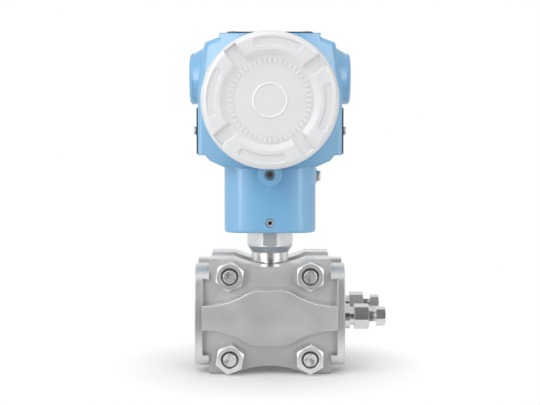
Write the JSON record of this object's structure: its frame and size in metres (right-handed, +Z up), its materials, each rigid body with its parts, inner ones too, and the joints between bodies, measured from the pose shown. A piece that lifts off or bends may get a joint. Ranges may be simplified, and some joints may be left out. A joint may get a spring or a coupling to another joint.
{
  "type": "differential pressure transmitter",
  "caption": "Field pressure transmitter: a painted twin-compartment head turning on a steel neck above a measuring capsule clamped between cast process flanges.",
  "frame": {"origin": "on the surface that the flanges stand on, under the neck's axis", "axes": "+Z up along the neck's axis, -Y towards the front cover over the field terminals, +X towards the vents"},
  "size_m": [0.1271, 0.124, 0.2238],
  "materials": {
    "blue_enamel": "satin enamel on cast aluminium",
    "white_enamel": "satin enamel on cast aluminium",
    "cast_steel": "bead-blasted cast stainless steel",
    "polished_steel": "turned stainless steel",
    "bright_steel": "bright stainless steel",
    "black_steel": "blackened steel",
    "seal_rubber": "nitrile rubber",
    "gasket_white": "fluoropolymer",
    "dark_plate": "dark anodised plate",
    "black_plastic": "glass-filled moulding",
    "gold_brass": "plated brass",
    "green_board": "solder resist on laminate"
  },
  "bodies": {
    "sensor": {"front_flange": "cast_steel", "rear_flange": "cast_steel", "front_gasket": "gasket_white", "rear_gasket": "gasket_white", "front_diaphragm": "polished_steel", "rear_diaphragm": "polished_steel", "sensor_body": "polished_steel", "neck_o_ring": "seal_rubber", "sensor_header": "black_plastic", "header_pins": "gold_brass", "front_vent_plug": "polished_steel", "rear_vent_plug": "polished_steel", "upper_left_nut": "bright_steel", "upper_left_bolt": "bright_steel", "upper_right_nut": "bright_steel", "upper_right_bolt": "bright_steel", "lower_left_nut": "bright_steel", "lower_left_bolt": "bright_steel", "lower_right_nut": "bright_steel", "lower_right_bolt": "bright_steel"},
    "head": {"housing": "blue_enamel", "front_lock_screw": "black_steel", "rear_lock_screw": "black_steel", "neck_set_screw": "bright_steel", "ground_screw": "bright_steel", "ground_washer": "bright_steel", "left_nameplate": "dark_plate", "left_nameplate_screws": "bright_steel", "right_nameplate": "dark_plate", "right_nameplate_screws": "bright_steel", "top_plate": "dark_plate", "top_plate_screws": "bright_steel", "conduit_plug": "bright_steel", "terminal_block": "black_plastic", "terminal_clamps": "gold_brass", "terminal_screws": "bright_steel", "terminal_block_screws": "bright_steel", "feedthrough": "black_plastic", "electronics_carrier": "black_plastic", "main_board": "green_board", "carrier_screws": "bright_steel"},
    "front_cover_seal": {"front_cover_o_ring": "seal_rubber"},
    "front_cover": {"front_cover": "white_enamel"},
    "rear_cover_seal": {"rear_cover_o_ring": "seal_rubber"},
    "rear_cover": {"rear_cover": "white_enamel"},
    "front_vent_ball": {"front_vent_ball": "polished_steel"},
    "front_vent_stem": {"front_vent_stem": "polished_steel"},
    "rear_vent_ball": {"rear_vent_ball": "polished_steel"},
    "rear_vent_stem": {"rear_vent_stem": "polished_steel"}
  },
  "joints": [
    {"name": "head_turn", "type": "hinge", "parent": "sensor", "child": "head", "pos_m": [0, 0, 0.1], "axis": [0, 0, 1], "range_deg": [-170, 170]},
    {"name": "front_cover_travel", "type": "slide", "parent": "head", "child": "front_cover_seal", "axis": [0, -1, 0], "range_m": [0, 0.0141]},
    {"name": "front_cover_turn", "type": "hinge", "parent": "front_cover_seal", "child": "front_cover", "pos_m": [0, -0.05, 0.1782], "axis": [0, -1, 0], "range_deg": [0, 2520]},
    {"name": "rear_cover_travel", "type": "slide", "parent": "head", "child": "rear_cover_seal", "axis": [0, 1, 0], "range_m": [0, 0.0141]},
    {"name": "rear_cover_turn", "type": "hinge", "parent": "rear_cover_seal", "child": "rear_cover", "pos_m": [0, 0.05, 0.1782], "axis": [0, 1, 0], "range_deg": [0, 2520]},
    {"name": "front_vent_travel", "type": "slide", "parent": "sensor", "child": "front_vent_ball", "axis": [1, 0, 0], "range_m": [0, 0.00205]},
    {"name": "front_vent_turn", "type": "hinge", "parent": "front_vent_ball", "child": "front_vent_stem", "pos_m": [0.06, -0.027, 0.03775], "axis": [1, 0, 0], "range_deg": [0, 720]},
    {"name": "rear_vent_travel", "type": "slide", "parent": "sensor", "child": "rear_vent_ball", "axis": [1, 0, 0], "range_m": [0, 0.00205]},
    {"name": "rear_vent_turn", "type": "hinge", "parent": "rear_vent_ball", "child": "rear_vent_stem", "pos_m": [0.06, 0.027, 0.03775], "axis": [1, 0, 0], "range_deg": [0, 720]}
  ],
  "couplings": [
    {"joint": "front_cover_travel", "follows": "front_cover_turn", "m_per_rad": 0.00031831},
    {"joint": "rear_cover_travel", "follows": "rear_cover_turn", "m_per_rad": 0.00031831},
    {"joint": "front_vent_travel", "follows": "front_vent_turn", "m_per_rad": 0.00015915},
    {"joint": "rear_vent_travel", "follows": "rear_vent_turn", "m_per_rad": 0.00015915}
  ]
}
